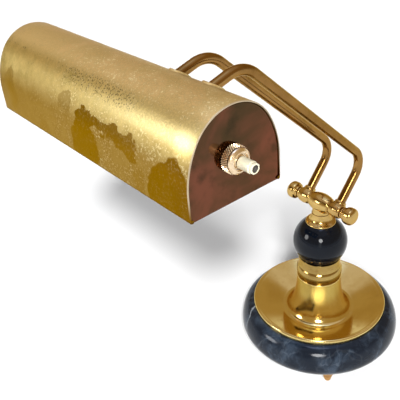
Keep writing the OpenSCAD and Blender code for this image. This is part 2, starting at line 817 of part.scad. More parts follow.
// Knurled ring nut with a smooth bevelled nose and a sunk face
module switch_nut() {
  r = switch_nut_d / 2;
  end = cap_out + switch_nut_t;
  nose = 3.2;
  color(brass) placed() difference() {
    turned_x([[cap_out, 0], [cap_out, r - 0.6], [cap_out + 0.6, r], [end - nose, r],
              [end - nose + 0.5, r - 0.5], [end - 0.8, r - 2], [end, r - 2.8], [end, 0]],
             switch_y, switch_z);
    along_x(cap_out - 1, end + 1, switch_r + 0.1, 0, switch_y, switch_z);
    along_x(end - 1.2, end + 1, switch_r + 0.7, 0, switch_y, switch_z);
  }
}

module switch_shaft() {
  color(steel) placed() along_x(cap_in - 11, knob_far - 4, switch_shaft_r, 0, switch_y, switch_z);
}

// Plain round turn knob whose end has eight flats and a hollow face
module switch_knob() {
  r = switch_knob_d / 2;
  flats = 2.4;
  color("#e8dcae") placed() difference() {
    union() {
      turned_x([[knob_near, 0], [knob_near, r - 0.4], [knob_near + 0.4, r],
                [knob_far - flats, r], [knob_far - flats + 0.4, 0]], switch_y, switch_z);
      along_x(knob_far - flats, knob_far, r - 0.3, 0, switch_y, switch_z, 8);
    }
    along_x(knob_near - 1, knob_far - 3.8, switch_shaft_r + 0.02, 0, switch_y, switch_z);
    along_x(knob_far - 2, knob_far + 1, r - 1.7, 0, switch_y, switch_z);
  }
}

feet();
base_plate();
ballast();
stone_ring();
base_dish();
cord_bushing();
ball_cup();
ball();
ball_collar();
stem_pipe();
pipe_washer();
pipe_nut();
hub();
pivot_shaft();
shaft_lock_screw();
friction_washers();
left_sleeve();
right_sleeve();
left_bead();
right_bead();
left_thumb_nut();
right_thumb_nut();
left_arm();
right_arm();
arm_saddles();
arm_bridge();
arm_tip_nuts();
shade();
left_end_cap();
right_end_cap();
socket_bracket();
socket_nipple();
socket_cap();
socket_shell();
socket_liner();
socket_thread();
socket_contact();
bulb_base();
bulb_glass();
bulb_mount();
switch_body();
switch_bushing();
switch_nut();
switch_shaft();
switch_knob();
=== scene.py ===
import math

import bmesh
import bpy
import numpy as np
from mathutils import Matrix, Vector


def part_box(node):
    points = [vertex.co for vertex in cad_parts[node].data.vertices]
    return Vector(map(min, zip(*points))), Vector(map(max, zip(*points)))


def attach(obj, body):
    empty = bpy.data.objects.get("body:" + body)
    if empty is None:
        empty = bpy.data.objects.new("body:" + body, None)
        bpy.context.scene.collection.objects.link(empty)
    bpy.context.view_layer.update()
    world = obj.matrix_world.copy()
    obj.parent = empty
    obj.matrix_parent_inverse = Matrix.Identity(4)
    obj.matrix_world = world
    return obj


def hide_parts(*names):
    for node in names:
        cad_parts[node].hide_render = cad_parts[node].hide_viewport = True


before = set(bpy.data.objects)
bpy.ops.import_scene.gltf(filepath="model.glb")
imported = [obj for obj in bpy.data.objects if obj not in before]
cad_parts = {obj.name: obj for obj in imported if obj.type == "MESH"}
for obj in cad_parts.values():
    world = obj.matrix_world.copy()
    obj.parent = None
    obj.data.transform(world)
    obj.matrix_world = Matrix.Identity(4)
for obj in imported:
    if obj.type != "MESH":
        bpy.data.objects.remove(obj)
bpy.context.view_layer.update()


# Studio: the camera looks down over the near end of the shade, turned a little.
# A key lamp and a round box on the left make the small highlights, a third lamp
# casts the soft shadow, and the pale floor runs into a white backdrop.
class Wire:
    """A socket of a node tree, or a tree alone, on which node maths is written."""

    def __init__(self, tree, socket=None):
        self.tree, self.socket = tree, socket

    def put(self, socket, value):
        if isinstance(value, Wire):
            self.tree.links.new(value.socket, socket)
        elif socket.type == "RGBA":
            socket.default_value = (*value[:3], 1)
        else:
            socket.default_value = value

    def node(self, kind, sockets=(), out=0, **settings):
        """Adds a node: its settings first, then the values or links of its sockets."""
        made = self.tree.nodes.new(kind)
        for key, value in settings.items():
            setattr(made, key, value)
        for key, value in dict(sockets).items():
            self.put(made.inputs[key], value)
        return Wire(self.tree, made.outputs[out])

    def beside(self, name):
        """Another output of the same node."""
        return Wire(self.tree, self.socket.node.outputs[name])

    def math(self, operation, *values):
        return self.node("ShaderNodeMath", dict(enumerate(values)), operation=operation)

    def __add__(self, other):
        return self.math("ADD", self, other)

    def __sub__(self, other):
        return self.math("SUBTRACT", self, other)

    def __mul__(self, other):
        return self.math("MULTIPLY", self, other)

    def __truediv__(self, other):
        return self.math("DIVIDE", self, other)

    def __rsub__(self, other):
        return self.math("SUBTRACT", other, self)

    __radd__, __rmul__ = __add__, __mul__

    def over(self, low, high):
        """0 below low, 1 above high and a soft step between them."""
        return self.node("ShaderNodeMapRange", {"Value": self, "From Min": low, "From Max": high},
                         interpolation_type="SMOOTHSTEP")

    def mix(self, factor, low, high):
        """A colour between two colours, by the Mix node's own sockets for colours."""
        return self.node("ShaderNodeMix", {0: factor, 6: low, 7: high}, out=2, data_type="RGBA")

    def shown(self):
        """1 for what the camera sees, in a mirror and through glass too."""
        return (self.node("ShaderNodeLightPath", out="Is Camera Ray")
                + self.node("ShaderNodeLightPath", out="Is Glossy Ray")
                + self.node("ShaderNodeLightPath", out="Is Transmission Ray"))


camera_place = (0.368984, -0.309891, 0.465008)
camera_turn, camera_fall, camera_roll = (math.radians(a) for a in (53.254, 90 - 32.151, -5.194))
camera = bpy.data.objects.new("camera", bpy.data.cameras.new("camera"))
bpy.context.collection.objects.link(camera)
bpy.context.scene.camera = camera
camera.data.lens, camera.data.sensor_width = 55.92, 36
camera.matrix_world = (Matrix.Translation(camera_place)
                       @ Matrix.Rotation(camera_turn, 4, "Z")
                       @ Matrix.Rotation(camera_fall, 4, "X")
                       @ Matrix.Rotation(camera_roll, 4, "Z"))
bpy.context.scene.view_settings.view_transform = "Standard"

world = bpy.data.worlds.new("studio")
bpy.context.scene.world = world
world.use_nodes = True
# Metal mirrors a plain room: a pale horizon, a brown wall, and a pale ceiling with a
# bright window in it. A tall strip of light stands beside the camera.
white, dim = (1, 1, 1), (0.10, 0.10, 0.104)
horizon, wall, ceiling = (0.85, 0.84, 0.82), (0.46, 0.32, 0.13), (0.70, 0.62, 0.60)
zenith, window, strip = (1.05, 1.25, 1.9), (3.6, 4.2, 6.0), (1.5, 1.5, 1.4)
air = Wire(world.node_tree)
mirrored = air.node("ShaderNodeLightPath", out="Is Glossy Ray")
way_out = air.node("ShaderNodeTexCoord", out="Generated")
east = air.node("ShaderNodeSeparateXYZ", {0: way_out}, out="X")
north, up = east.beside("Y"), east.beside("Z")
face_x, face_y, lean_x, lean_y, lean_z = 0.645, 0.764, 0.112, 0.133, 0.985
toward = east * face_x - north * face_y
aside = air.math("ABSOLUTE", east * face_y + north * face_x)
in_strip = (1 - aside.over(0.07, 0.12)) * toward.over(0.0, 0.1) * (1 - up.over(0.55, 0.70))
in_window = (east * lean_x - north * lean_y + up * lean_z).over(0.982, 0.994)
room = horizon
for low, high, tone in ((0.08, 0.22, wall), (0.70, 0.78, ceiling), (0.93, 0.97, zenith)):
    room = air.mix(up.over(low, high), room, tone)
room = air.mix(in_window, room, window)
room = air.mix(in_strip, room, strip)
backdrop = air.mix(mirrored, white, room)
air.put(world.node_tree.nodes["Background"].inputs["Color"], air.mix(air.shown(), dim, backdrop))

reach, paper_tone, paper_glow = 8, (0.88, 0.88, 0.88), 0.04
floor_mesh = bpy.data.meshes.new("floor")
floor_mesh.from_pydata([(-reach, -reach, 0), (reach, -reach, 0), (reach, reach, 0),
                        (-reach, reach, 0)], [], [(0, 1, 2, 3)])
floor = bpy.data.objects.new("floor", floor_mesh)
bpy.context.collection.objects.link(floor)
paper = bpy.data.materials.new("floor_paper")
paper.use_nodes = True
paper.node_tree.nodes.remove(paper.node_tree.nodes["Principled BSDF"])
sheet = Wire(paper.node_tree)
lit = sheet.node("ShaderNodeBsdfDiffuse", {"Color": paper_tone})
glow = sheet.node("ShaderNodeEmission", {"Color": white, "Strength": sheet.shown() * paper_glow})
sheet.put(paper.node_tree.nodes["Material Output"].inputs["Surface"],
          sheet.node("ShaderNodeAddShader", {0: lit, 1: glow}))
floor_mesh.materials.append(paper)

lamp_distance = 1.6
for name, kind, way, power, extent, mirrors in (
        ("key", "SUN", (0.596, -0.640, 0.485), 1.4, math.radians(16), True),
        ("shadow_maker", "SUN", (0.549, -0.455, 0.701), 3.65, math.radians(10), False),
        ("left_box", "AREA", (-0.40, -0.79, 0.46), 7.0, 0.5, True)):
    lamp = bpy.data.lights.new(name, kind)
    lamp.energy = power
    if kind == "SUN":
        lamp.angle = extent
    else:
        lamp.shape, lamp.size = "DISK", extent
    holder = bpy.data.objects.new(name, lamp)
    holder.location = Vector(way) * lamp_distance
    holder.rotation_mode = "QUATERNION"
    holder.rotation_quaternion = Vector(way).to_track_quat("Z", "Y")
    holder.visible_glossy = mirrors
    bpy.context.collection.objects.link(holder)


# Feet: four turned brass cones with a flat toe, let into the stone and placed
# at the corners of a rectangle. One shows under the front of the ring.
MM = 0.001


class Finish(Wire):
    """A material. What varies over the surface is fed in, the rest sits on the sockets."""

    def __init__(self, name, constants):
        self.material = bpy.data.materials.new(name)
        self.material.use_nodes = True
        super().__init__(self.material.node_tree)
        self.shader = self.tree.nodes["Principled BSDF"]
        self.place = self.node("ShaderNodeTexCoord", out="Object")
        for key, value in constants.items():
            self.feed(key, value)

    def feed(self, socket, value):
        self.put(self.shader.inputs[socket], value)

    def vector(self, operation, first, second, out=0):
        return self.node("ShaderNodeVectorMath", {0: first, 1: second}, out=out,
                         operation=operation)

    def noise(self, scale, detail=2.0, place=None, out=0, **sockets):
        return self.node("ShaderNodeTexNoise", {"Vector": place or self.place, "Scale": scale,
                                                "Detail": detail, **sockets}, out=out)

    def cells(self, scale, place=None, **settings):
        """Distance to the nearest point of a scatter, or to the nearest edge between cells."""
        return self.node("ShaderNodeTexVoronoi", {"Vector": place or self.place, "Scale": scale},
                         out="Distance", **settings)

    def relief(self, height, depth):
        self.feed("Normal", self.node("ShaderNodeBump", {"Height": height, "Distance": depth}))


def brass(name, bright, deep, rough):
    """Lacquered brass with faint clouds, wiping marks and a fine grain."""
    metal = Finish(name, {"Metallic": 1.0, "Specular Tint": (0.92, 0.74, 0.45)})
    cloud = metal.noise(34, 3.0).over(0.38, 0.68)
    wiped = metal.noise(210, 5.0, Roughness=0.62)
    metal.feed("Base Color", metal.mix(cloud * 0.6 + wiped.over(0.5, 0.75) * 0.3, bright, deep))
    metal.feed("Roughness", rough + 0.10 * wiped.over(0.42, 0.72) + 0.05 * cloud)
    metal.relief(metal.noise(2600, 2.0), 0.000006)
    return metal.material


polished_brass = brass("polished_brass", (0.72, 0.565, 0.235), (0.60, 0.43, 0.135), 0.11)
browned_brass = brass("browned_brass", (0.55, 0.375, 0.13), (0.37, 0.215, 0.075), 0.14)
copper_brass = brass("copper_brass", (0.44, 0.26, 0.12), (0.28, 0.15, 0.06), 0.16)


def rounded(corners, steps=6):
    """An outline whose inner corners, given as radius, height and fillet, are rounded."""
    out, last = [], len(corners) - 1
    for k, (x, y, fillet) in enumerate(corners):
        p = np.array((x, y), float)
        if not fillet or k in (0, last):
            out.append((x, y))
            continue
        a, b = np.array(corners[k - 1][:2]) - p, np.array(corners[k + 1][:2]) - p
        la, lb = np.linalg.norm(a), np.linalg.norm(b)
        half = math.acos(max(-1, min(1, float(a @ b) / (la * lb)))) / 2
        cut = min(fillet / math.tan(half), la * 0.49, lb * 0.49)
        start, end = p + a / la * cut, p + b / lb * cut
        for i in range(steps + 1):
            t = i / steps
            out.append(tuple((1 - t) ** 2 * start + 2 * t * (1 - t) * p + t * t * end))
    return out


def bow(centre, a, b, start, end, steps):
    """Points of an ellipse between two angles in degrees."""
    angles = np.radians(np.linspace(start, end, steps + 1))
    return [(centre[0] + a * math.cos(t), centre[1] + b * math.sin(t)) for t in angles]


def smooth(mesh, sharp):
    """Smooth shading but for the edges sharper than an angle in degrees."""
    mesh.shade_smooth()
    mesh.set_sharp_from_angle(angle=math.radians(sharp))


def made(name, points, faces, sharp=32):
    """An object from points in millimetres, with its normals outward."""
    mesh = bpy.data.meshes.new(name)
    mesh.from_pydata([tuple(float(c) * MM for c in p) for p in points], [], faces)
    work = bmesh.new()
    work.from_mesh(mesh)
    bmesh.ops.remove_doubles(work, verts=work.verts, dist=1e-7)
    bmesh.ops.recalc_face_normals(work, faces=work.faces)
    work.to_mesh(mesh)
    work.free()
    smooth(mesh, sharp)
    piece = bpy.data.objects.new(name, mesh)
    bpy.context.collection.objects.link(piece)
    return piece


def spun(name, outline, centre=(0, 0, 0), along="Z", turns=144, sharp=32):
    """A turned piece: radius and height spun round an axis. An outline that does
    not end on the axis is a ring and is closed on itself."""
    points, rings = [], []
    for r, h in outline:
        first = len(points)
        if r < 1e-6:
            points.append((0, 0, h))
            rings.append([first] * turns)
        else:
            points += [(r * math.cos(2 * math.pi * i / turns),
                        r * math.sin(2 * math.pi * i / turns), h) for i in range(turns)]
            rings.append(list(range(first, first + turns)))
    if min(outline[0][0], outline[-1][0]) > 1e-6:
        rings.append(rings[0])
    faces = []
    for low, high in zip(rings, rings[1:]):
        for i in range(turns):
            j = (i + 1) % turns
            face = tuple(dict.fromkeys((low[i], low[j], high[j], high[i])))
            if len(face) > 2:
                faces.append(face)
    order = {"Z": (0, 1, 2), "X": (2, 0, 1), "Y": (1, 2, 0)}[along]
    placed = [tuple(p[order[k]] + centre[k] for k in range(3)) for p in points]
    return made(name, placed, faces, sharp)


def fitted(piece, material, body, slot, *nodes):
    """Gives a piece its material and body and hides the nodes it stands for; slot is not used."""
    piece.data.materials.clear()
    piece.data.materials.append(material)
    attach(piece, body)
    if nodes:
        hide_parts(*nodes)


def box(node):
    """Lowest corner, highest corner and middle of a CAD node in millimetres."""
    low, high = (np.array(corner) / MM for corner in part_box(node))
    return low, high, (low + high) / 2


def metres(length):
    """A length in millimetres as a plain number in metres."""
    return float(length) * MM


def shift(x, y, z):
    """A move given in millimetres."""
    return Matrix.Translation((x * MM, y * MM, z * MM))


def pattern(name, **sizes):
    """A Geometry Nodes tree with a named input for each size."""
    tree = bpy.data.node_groups.new(name, "GeometryNodeTree")
    tree.interface.new_socket("Geometry", in_out="OUTPUT", socket_type="NodeSocketGeometry")
    for key, value in sizes.items():
        kind = "NodeSocketInt" if isinstance(value, int) else "NodeSocketFloat"
        tree.interface.new_socket(key, in_out="INPUT", socket_type=kind)
    source = tree.nodes.new("NodeGroupInput")
    return Wire(tree), {key: Wire(tree, source.outputs[key]) for key in sizes}


def plain(piece):
    """The mesh that a piece's modifiers make, as a mesh of its own."""
    graph = bpy.context.evaluated_depsgraph_get()
    mesh = bpy.data.meshes.new_from_object(piece.evaluated_get(graph), depsgraph=graph)
    piece.modifiers.clear()
    piece.data = mesh
    mesh.name = piece.name
    return mesh


def grown(name, plan, result, material, sizes, sharp=32):
    """Runs a tree on an empty mesh and keeps what it makes as a plain mesh."""
    solid = plan.node("GeometryNodeRealizeInstances", {"Geometry": result})
    solid = plan.node("GeometryNodeSetMaterial", {"Geometry": solid, "Material": material})
    plan.put(plan.tree.nodes.new("NodeGroupOutput").inputs["Geometry"], solid)
    piece = bpy.data.objects.new(name, bpy.data.meshes.new(name))
    bpy.context.collection.objects.link(piece)
    modifier = piece.modifiers.new("pattern", "NODES")
    modifier.node_group = plan.tree
    for item in plan.tree.interface.items_tree:
        if item.in_out == "INPUT":
            modifier[item.identifier] = sizes[item.name]
    smooth(plain(piece), sharp)
    return piece


ring_low, ring_high, ring_mid = box("stone_ring")
ring_r = (ring_high[0] - ring_low[0]) / 2
stem = (ring_mid[0], ring_mid[1])
feet_low, feet_high, _ = box("feet")
foot_r, foot_h, let_in = 6.0, ring_low[2], 2.5
foot = spun("foot_master", rounded([
    (0, 0, 0), (2.1, 0, 0), (2.8, 0.5, 0.6), (4.4, foot_h * 0.6, 1.5), (4.1, foot_h * 0.66, 0.3),
    (5.2, foot_h * 0.82, 0.5), (foot_r, foot_h - 0.6, 0.4), (foot_r, foot_h + let_in, 0),
    (0, foot_h + let_in, 0)]), turns=48)
sizes = {"Across": metres(feet_high[0] - feet_low[0] - 2 * foot_r),
         "Deep": metres(feet_high[1] - feet_low[1] - 2 * foot_r)}
plan, size = pattern("four_feet", **sizes)
grid = plan.node("GeometryNodeMeshGrid", {"Size X": size["Across"], "Size Y": size["Deep"],
                                          "Vertices X": 2, "Vertices Y": 2})
one = plan.node("GeometryNodeObjectInfo", {"Object": foot}, out="Geometry")
four = plan.node("GeometryNodeInstanceOnPoints", {"Points": grid, "Instance": one})
feet = grown("turned_feet", plan, four, copper_brass, sizes)
feet.data.transform(shift(*stem, 0))
bpy.data.objects.remove(foot)
fitted(feet, copper_brass, "base", "polished_brass", "feet")


# Underside: a zinc-plated steel plate closes the ring and clamps it against the
# dish. An iron disc on the plate keeps the lamp from tipping. A washer and a
# nut on the threaded pipe draw all of it together.
def dress(material, *names):
    """Gives CAD nodes a material."""
    for name in names:
        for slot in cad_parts[name].material_slots:
            slot.material = material


plated = Finish("plated_steel", {"Metallic": 1.0})
crystal = plated.cells(900.0)
grime = plated.noise(60, 5.0).over(0.45, 0.8)
plated.feed("Base Color", plated.mix(grime, (0.55, 0.56, 0.57), (0.30, 0.28, 0.25)))
plated.feed("Roughness", 0.26 + 0.12 * crystal + 0.18 * grime)
plated.relief(crystal, 0.00001)
dress(plated.material, "base_plate", "stem_pipe", "pipe_washer", "pipe_nut", "pivot_shaft",
      "shaft_lock_screw", "arm_bridge", "arm_tip_nuts", "socket_bracket", "switch_shaft")

iron = Finish("cast_iron", {"Metallic": 0.4})
pits = iron.noise(900, 4.0)
rust = iron.noise(40, 4.0).over(0.5, 0.75)
iron.feed("Base Color", iron.mix(rust, (0.045, 0.046, 0.05), (0.10, 0.05, 0.028)))
iron.feed("Roughness", 0.55 + 0.3 * pits)
iron.relief(pits, 0.00012)
dress(iron.material, "ballast")


# Stone ring: one piece of dark blue marble with cloudy grey bands and a few pale
# veins, turned to a bullnose, polished, and drilled at the back for the cord.
marble = Finish("veined_marble", {"IOR": 1.30})
swirl = marble.node("ShaderNodeVectorMath", {
    0: marble.noise(26, 5.0, out="Color"), "Scale": 0.042}, operation="SCALE")
bent = marble.vector("ADD", marble.place, swirl)
cracks = 1 - marble.cells(24.0, bent, feature="DISTANCE_TO_EDGE").over(0.0, 0.030)
threads = 1 - marble.cells(80.0, bent, feature="DISTANCE_TO_EDGE").over(0.0, 0.06)
clouds = marble.noise(46, 8.0, place=bent, Roughness=0.62).over(0.44, 0.74)
left_front = ((stem[0] - 0.4 * ring_r) * MM, (stem[1] - 0.85 * ring_r) * MM, 0.034)
cluster = 1 - marble.vector("DISTANCE", marble.place, left_front, out="Value").over(0.012, 0.030)
tone = marble.mix(clouds, (0.0050, 0.0085, 0.0155), (0.034, 0.050, 0.074))
tone = marble.mix(threads * clouds * 0.30, tone, (0.13, 0.155, 0.19))
tone = marble.mix(cracks * (0.02 + cluster * 0.50), tone, (0.42, 0.46, 0.50))
marble.feed("Base Color", tone)
marble.feed("Roughness", 0.10 + 0.05 * clouds + 0.10 * cracks)

bullnose, belly, bore_r, bevel, bevel_drop = 14.5, 13, 46.0, 9.5, 4.3
ledge_r, ledge_h = 52.15, 3
ledge_z, flat_r, belly_z = ring_low[2] + ledge_h, ring_r - bullnose, ring_low[2] + belly
ring_outline = ([(bore_r, ledge_z), (ledge_r, ledge_z), (ledge_r, ring_low[2])]
                + bow((flat_r, belly_z), bullnose, belly_z - ring_low[2], -90, 0, 22)
                + bow((flat_r, belly_z), bullnose, ring_high[2] - belly_z, 0, 90, 30)[1:]
                + [(bore_r + bevel, ring_high[2]), (bore_r, ring_high[2] - bevel_drop)])
ring = spun("marble_ring", ring_outline, (*stem, 0), turns=180)
_, way_high, way_mid = box("cord_bushing")
hole_r, mouth_r, mouth_at = 4.85, 7.7, way_high[1] - 2 - way_mid[1]
drill_in, drill_out = -60, 40
drill = spun("drill", [(0, drill_in), (hole_r, drill_in), (hole_r, mouth_at),
                       (mouth_r, mouth_at), (mouth_r, drill_out), (0, drill_out)],
             (stem[0], way_mid[1], way_mid[2]), along="Y", turns=48)
cut = ring.modifiers.new("cord_hole", "BOOLEAN")
cut.operation, cut.object, cut.solver = "DIFFERENCE", drill, "EXACT"
smooth(plain(ring), 32)
bpy.data.objects.remove(drill)
fitted(ring, marble.material, "base", "stone", "stone_ring")

rubber = Finish("black_moulding", {"IOR": 1.46})
grain, faded = rubber.noise(1500, 3.0), rubber.noise(90, 4.0)
rubber.feed("Base Color", rubber.mix(faded, (0.012, 0.012, 0.013), (0.028, 0.027, 0.026)))
rubber.feed("Roughness", 0.42 + 0.2 * grain)
rubber.relief(grain, 0.00003)
dress(rubber.material, "cord_bushing", "switch_body")


# Dish: spun from one brass disc. Its rolled rim lies on the stone, inside it a
# shallow bowl sinks towards the stem, and from its bottom the bell sweeps up.
def walled(outline, wall):
    """A sheet-metal section: the outline and its offset on the left, as one loop."""
    pts = np.array(outline, float)
    along = np.gradient(pts, axis=0)
    along /= np.linalg.norm(along, axis=1)[:, None]
    inner = pts + wall * np.stack([-along[:, 1], along[:, 0]], 1)
    return [tuple(p) for p in pts] + [tuple(p) for p in inner[::-1]]


dish_low, dish_high, _ = box("base_dish")
rim_h, rim_roll, bowl_drop, bowl_depth, sheet_t = 4.4, 1.6, 1.5, 10.4, 1.1
bell_foot, bell_top, pipe_way, dish_top = 33.0, 21.0, 5.0, dish_high[2]
rim_r, rim_low, rim_top = (dish_high[0] - dish_low[0]) / 2, ring_high[2], ring_high[2] + rim_h
bowl_edge = rim_top - bowl_drop
bowl_low, bell_end = bowl_edge - bowl_depth, dish_top - 2
dish_skin = ([(rim_r, rim_low + 0.02), (rim_r, rim_low + 1.4), (rim_r, rim_top - rim_roll)]
             + bow((rim_r - rim_roll, rim_top - rim_roll), rim_roll, rim_roll, 12, 118, 10)
             + rounded([(rim_r - 3.3, rim_top - 0.9, 0), (rim_r - 4.6, bowl_edge + 0.3, 2.0),
                        (bell_foot + 2, bowl_low, 3.5), (bell_foot - 1.2, bowl_low + 0.05, 0)],
                       steps=14)
             + bow((bell_foot, bell_end), bell_foot - bell_top, bell_end - bowl_low, 264, 180, 50)
             + rounded([(bell_top, dish_top - 1.6, 0), (bell_top, dish_top, 0.7),
                        (pipe_way, dish_top, 0)]))
dish = spun("spun_dish", walled(dish_skin, sheet_t), (*stem, 0), turns=200, sharp=50)
fitted(dish, polished_brass, "base", "polished_brass", "base_dish")


# Cup, ball and collar: a turned brass cup with a swelling band holds the black
# glazed ball, and a flared collar caps it under the hub.
cup_low, _, _ = box("ball_cup")
ball_low, ball_high, ball_mid = box("ball")
ball_r = (ball_high[0] - ball_low[0]) / 2
seat_r = ball_r + 0.15


def seat(r, side):
    """A point of the seat that the ball rests in, under it or over it."""
    return (r, ball_mid[2] + side * math.sqrt(seat_r ** 2 - r ** 2))


cup_z, cup_h, neck = cup_low[2], 22.2, 19.7
ledge, cup_top = cup_z + cup_h * 0.55, cup_z + cup_h
band = (ledge - cup_z - 1.4) / 2
cup_outline = (rounded([(pipe_way, cup_z, 0), (bell_top - 1.4, cup_z, 0.3),
                        (bell_top - 1.3, cup_z + 1.3, 0.4), (bell_top - 0.9, cup_z + 1.7, 0)])
               + bow((bell_top - 2.2, ledge - band), 2.6, band, -58, 60, 26)
               + rounded([(bell_top - 1.3, ledge - 0.1, 0), (neck + 0.35, ledge + 0.3, 0.6),
                          (neck - 0.25, ledge + 3.2, 2.5), (neck, cup_top - 1.6, 1.5),
                          (neck, cup_top - 0.2, 0.4), (neck - 1.0, cup_top, 0.4),
                          (18.4, cup_top, 0)])
               + [seat(r, -1) for r in (18.2, 15, 12, 9, pipe_way)])
cup = spun("ball_cup_turned", cup_outline, (*stem, 0), turns=144)
cup_brass = brass("cup_brass", (0.42, 0.29, 0.095), (0.24, 0.145, 0.04), 0.12)
fitted(cup, cup_brass, "base", "polished_brass", "ball_cup")

glaze = Finish("black_glaze", {"IOR": 1.28})
depth = glaze.noise(30, 3.0)
glaze.feed("Base Color", glaze.mix(depth, (0.0014, 0.0022, 0.0038), (0.0030, 0.0050, 0.0095)))
glaze.feed("Roughness", 0.035 + 0.05 * glaze.noise(160, 4.0).over(0.55, 0.8))
glaze.relief(glaze.noise(70, 2.0), 0.00003)
dress(glaze.material, "ball")

_, collar_high, _ = box("ball_collar")
lip_r, neck_r, collar_top = 13.6, 8.4, collar_high[2]
lip_z = ball_mid[2] + math.sqrt(ball_r ** 2 - lip_r ** 2)
flare_r, flare_h = lip_r - 1.8 - neck_r, collar_top - lip_z - 2.4
flare = [(lip_r - 1.8 - flare_r * math.sin(t), collar_top - flare_h * math.cos(t))
         for t in np.linspace(0.05, math.pi / 2, 26)]
collar_outline = ([seat(pipe_way, 1), seat(9, 1), seat(lip_r - 0.6, 1)]
                  + bow((lip_r - 0.9, lip_z + 0.6), 1.0, 1.0, -50, 85, 12)
                  + flare + [(pipe_way, collar_top)])
collar = spun("flared_collar", collar_outline, (*stem, 0), turns=120)
fitted(collar, browned_brass, "base", "polished_brass", "ball_collar")


# Hub: an egg-shaped brass casting on a short neck, bored across for the pivot
# shaft. The neck runs into the egg in a soft fillet, as cast and polished.
def cast(name, parts, voxel):
    """Melts closed shapes into one casting with soft fillets."""
    whole = bpy.data.meshes.new(name)
    work = bmesh.new()
    for part in parts:
        work.from_mesh(part.data)
        bpy.data.objects.remove(part)
    work.to_mesh(whole)
    work.free()
    piece = bpy.data.objects.new(name, whole)
    bpy.context.collection.objects.link(piece)
    melt = piece.modifiers.new("melt", "REMESH")
    melt.mode, melt.voxel_size = "VOXEL", voxel * MM
    soft = piece.modifiers.new("soft", "SMOOTH")
    soft.factor, soft.iterations = 0.6, 6
    smooth(plain(piece), 60)
    return piece


_, _, pivot = box("pivot_shaft")
hub_low, hub_high, _ = box("hub")
hub_half, hub_r, cut_share = (hub_high[0] - hub_low[0]) / 2, 8.8, 0.72
long_half = hub_half / math.sqrt(1 - cut_share ** 2)
egg = ([(0, -hub_half)] + [(hub_r * math.sqrt(1 - (x / long_half) ** 2), x)
                           for x in np.linspace(-hub_half, hub_half, 40)] + [(0, hub_half)])
neck_line = rounded([(0, collar_top, 0), (8.2, collar_top, 0), (7.6, collar_top + 1.6, 1.0),
                     (7.9, pivot[2] - 5, 0), (6.5, pivot[2] - 2, 0), (0, pivot[2] - 2, 0)])
hub = cast("cast_hub", [spun("egg", egg, pivot, along="X", turns=96),
                        spun("neck", neck_line, (*stem, 0), turns=96)], 0.32)
fitted(hub, browned_brass, "base", "polished_brass", "hub")
dress(browned_brass, "friction_washers")


# Sleeves, beads and thumb nuts: each arm is brazed into a barrel that turns on
# the shaft. A bead and a domed nut at each end press the barrels to the hub.
riser = math.radians(49.5)
arm_shift, boss_len, shaft_r = 17.55, 8.6, 3.1
for side, hand in ((-1, "left"), (1, "right")):
    low, high, _ = box(f"{hand}_sleeve")
    length = high[0] - low[0]
    barrel = rounded([(0, 0, 0), (5.6, 0, 0), (6.1, 0.5, 0.4), (6.6, 1.6, 1), (7.2, length / 2, 6),
                      (6.6, length - 1.6, 1), (6.1, length - 0.5, 0.4), (5.6, length, 0),
                      (0, length, 0)])
    body = spun("barrel", barrel, (low[0], pivot[1], pivot[2]), along="X", turns=96)
    boss = spun("boss", rounded([(0, 0, 0), (5.6, 0, 0), (5.3, 7.2, 1), (4.9, boss_len, 0.3),
                                 (0, boss_len, 0)]), turns=72)
    boss.data.transform(shift(pivot[0] + side * arm_shift, pivot[1], pivot[2])
                        @ Matrix.Rotation(riser - math.pi / 2, 4, "X"))
    sleeve = cast(f"{hand}_barrel", [body, boss], 0.3)
    fitted(sleeve, browned_brass, "arm", "polished_brass", f"{hand}_sleeve")

    low, high, _ = box(f"{hand}_bead")
    wide = high[0] - low[0]
    swell = [(4.2 + math.sin(math.pi * t) * 1.0, wide * t) for t in np.linspace(0.04, 0.96, 16)]
    bead = spun(f"{hand}_bead_turned",
                [(shaft_r, 0), (4.0, 0)] + swell + [(4.0, wide), (shaft_r, wide)],
                (low[0], pivot[1], pivot[2]), along="X", turns=72)
    fitted(bead, browned_brass, "base", "polished_brass", f"{hand}_bead")

    low, high, _ = box(f"{hand}_thumb_nut")
    long, knob_r = high[0] - low[0], (high[2] - low[2]) / 2
    drum, dome = long * 0.62, long * 0.38
    grip = rounded([(shaft_r, 0, 0), (knob_r * 0.70, 0, 0.3), (knob_r * 0.76, 0.9, 0.5),
                    (knob_r * 0.74, 1.7, 0.4), (knob_r * 0.93, 2.6, 0.8), (knob_r, 4.4, 2.0),
                    (knob_r, drum, 0)])
    crest = [(knob_r * math.cos(t) ** 0.72, drum + dome * math.sin(t))
             for t in np.radians(np.linspace(4, 90, 26))[:-1]]
    knob_line = [(0, 1.2), (shaft_r, 1.2)] + grip + crest + [(0, long)]
    if side < 0:
        knob_line = [(r, long - h) for r, h in knob_line]
    nut = spun(f"{hand}_thumb_nut_turned", knob_line, (low[0], pivot[1], pivot[2]),
               along="X", turns=120)
    fitted(nut, browned_brass, f"{hand}_thumb_nut", "polished_brass", f"{hand}_thumb_nut")


